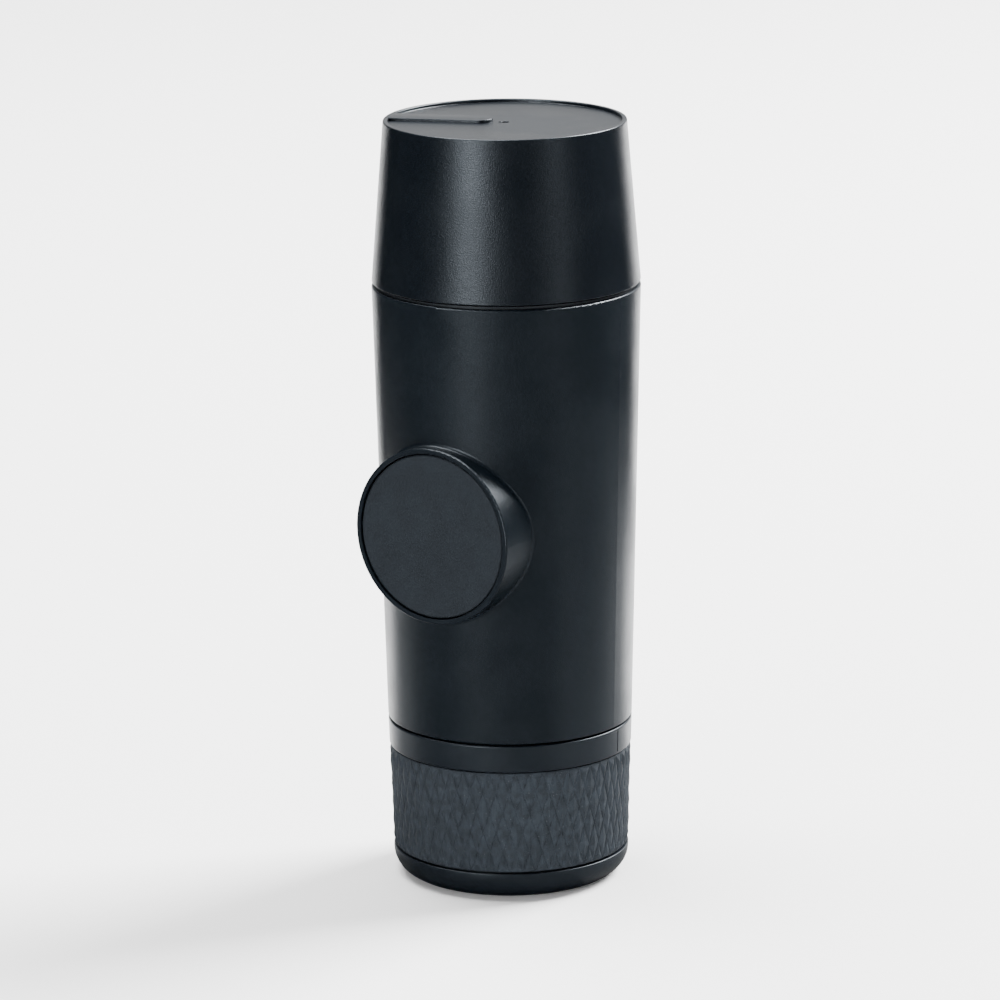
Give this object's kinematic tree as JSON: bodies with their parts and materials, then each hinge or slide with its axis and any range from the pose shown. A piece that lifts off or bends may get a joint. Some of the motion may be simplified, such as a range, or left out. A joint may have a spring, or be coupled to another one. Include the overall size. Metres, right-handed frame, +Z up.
{
  "type": "handheld manual espresso maker",
  "caption": "Handheld manual espresso maker: tapered barrel with a side pump knob, a screw-on water tank in a faceted grip sleeve, and an upturned cup over the outlet head.",
  "frame": {"origin": "centre of the flat foot under the water tank", "axes": "+Z up along the barrel towards the cup, -Y out of the pump knob's face"},
  "size_m": [0.06, 0.0615, 0.1728],
  "materials": {
    "body_plastic": "satin black moulding",
    "cup_plastic": "fine-grained matte black",
    "tank_plastic": "satin black moulding",
    "grip_rubber": "matte dark grey, faceted",
    "knob_plastic": "satin black moulding",
    "knob_pad": "soft-touch matte",
    "inner_plastic": "moulded, dark grey",
    "head_plastic": "moulded, black",
    "seal_rubber": "silicone, dull red",
    "steel": "stainless"
  },
  "bodies": {
    "main_body": {"body_shell": "body_plastic", "retaining_ring": "inner_plastic", "socket_plate": "inner_plastic", "inlet_screen": "steel", "air_valve": "seal_rubber", "plate_screws": "steel", "pump_cylinder": "inner_plastic", "pump_gasket": "seal_rubber", "valve_block": "inner_plastic", "inlet_seat": "inner_plastic", "inlet_spring": "steel", "outlet_plug": "inner_plastic", "outlet_spring": "steel", "suction_tube": "inner_plastic", "delivery_tube": "inner_plastic", "piston_spring": "steel", "brew_head": "inner_plastic", "cup_seal": "seal_rubber", "shower_screen": "steel", "shower_screw": "steel", "group_gasket": "seal_rubber"},
    "piston": {"piston_rod": "inner_plastic", "piston_seal": "seal_rubber", "knob_screw": "steel"},
    "knob": {"knob_cap": "knob_plastic", "knob_pad": "knob_pad"},
    "inlet_ball": {"inlet_ball": "steel"},
    "outlet_ball": {"outlet_ball": "steel"},
    "basket": {"filter_basket": "steel"},
    "head_ring": {"head_seal": "seal_rubber"},
    "head": {"outlet_head": "head_plastic", "outlet_nozzle": "seal_rubber"},
    "cup": {"cup": "cup_plastic"},
    "tank_ring": {"tank_seal": "seal_rubber"},
    "tank": {"tank_shell": "tank_plastic", "tank_sleeve": "grip_rubber"}
  },
  "joints": [
    {"name": "piston_stroke", "type": "slide", "parent": "main_body", "child": "piston", "axis": [0, -1, 0], "range_m": [0, 0.02], "deforming": ["piston_spring"]},
    {"name": "knob_turn", "type": "hinge", "parent": "piston", "child": "knob", "pos_m": [0, -0.03, 0.0844], "axis": [0, -1, 0], "range_deg": [0, 40]},
    {"name": "inlet_valve", "type": "slide", "parent": "main_body", "child": "inlet_ball", "axis": [0, 0, 1], "range_m": [0, 0.001], "stiffness_N_per_m": 40, "springref_m": -0.0005, "deforming": ["inlet_spring"]},
    {"name": "outlet_valve", "type": "slide", "parent": "main_body", "child": "outlet_ball", "axis": [0, 0, 1], "range_m": [0, 0.001], "stiffness_N_per_m": 40, "springref_m": -0.0005, "deforming": ["outlet_spring"]},
    {"name": "basket_lift", "type": "slide", "parent": "main_body", "child": "basket", "axis": [0, 0, 1], "range_m": [0, 0.026]},
    {"name": "head_lift", "type": "slide", "parent": "basket", "child": "head_ring", "axis": [0, 0, 1], "range_m": [0, 0.008]},
    {"name": "head_turn", "type": "hinge", "parent": "head_ring", "child": "head", "pos_m": [0, 0, 0.1434], "axis": [0, 0, 1], "range_deg": [0, 720]},
    {"name": "cup_lift", "type": "slide", "parent": "basket", "child": "cup", "axis": [0, 0, 1], "range_m": [0, 0.06]},
    {"name": "tank_drop", "type": "slide", "parent": "main_body", "child": "tank_ring", "axis": [0, 0, -1], "range_m": [0, 0.0105]},
    {"name": "tank_turn", "type": "hinge", "parent": "tank_ring", "child": "tank", "pos_m": [0, 0, 0.0367], "axis": [0, 0, -1], "range_deg": [0, 630]}
  ],
  "couplings": [
    {"joint": "head_turn", "follows": "head_lift", "rad_per_m": 1570.8},
    {"joint": "tank_turn", "follows": "tank_drop", "rad_per_m": 1047.2}
  ]
}
